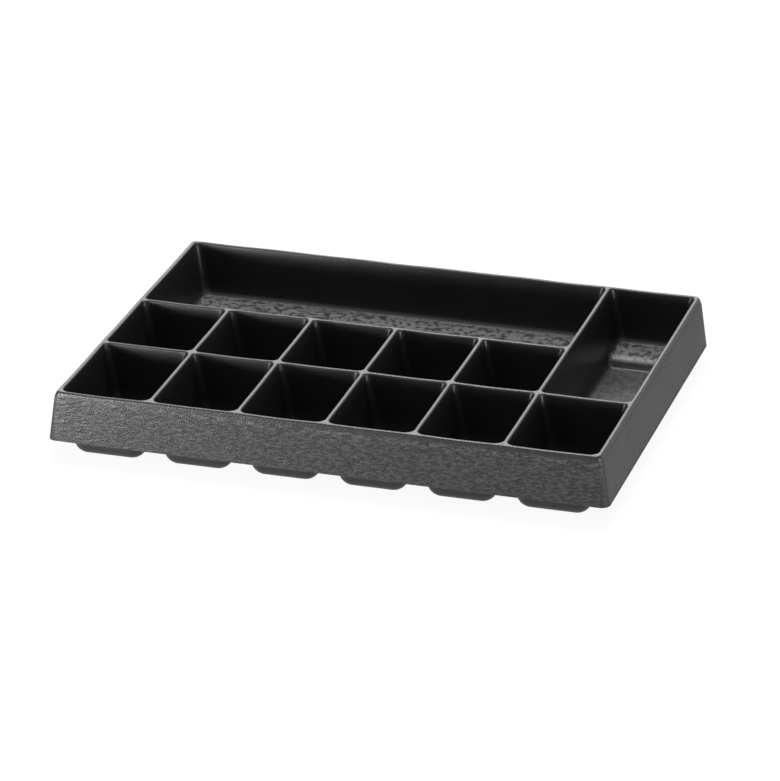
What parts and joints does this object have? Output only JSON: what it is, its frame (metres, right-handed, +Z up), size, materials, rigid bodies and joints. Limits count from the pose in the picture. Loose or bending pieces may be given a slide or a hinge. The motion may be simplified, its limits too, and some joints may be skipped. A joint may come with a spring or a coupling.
{
  "type": "drawer organizer tray",
  "caption": "Vacuum-formed black plastic drawer insert with two rows of small tapered pockets, a long back compartment and a side compartment with a raised rear ledge",
  "frame": {"origin": "centre of the bounding box at its underside, on the surface that the pocket bottoms rest on", "axes": "+X runs along the long side to the right, +Y runs to the back, +Z is up out of the pockets"},
  "size_m": [0.5662, 0.4218, 0.0685],
  "materials": {
    "tray": "black, leather-grained, low sheen"
  },
  "bodies": {
    "root": {"tray": "tray"}
  },
  "joints": []
}
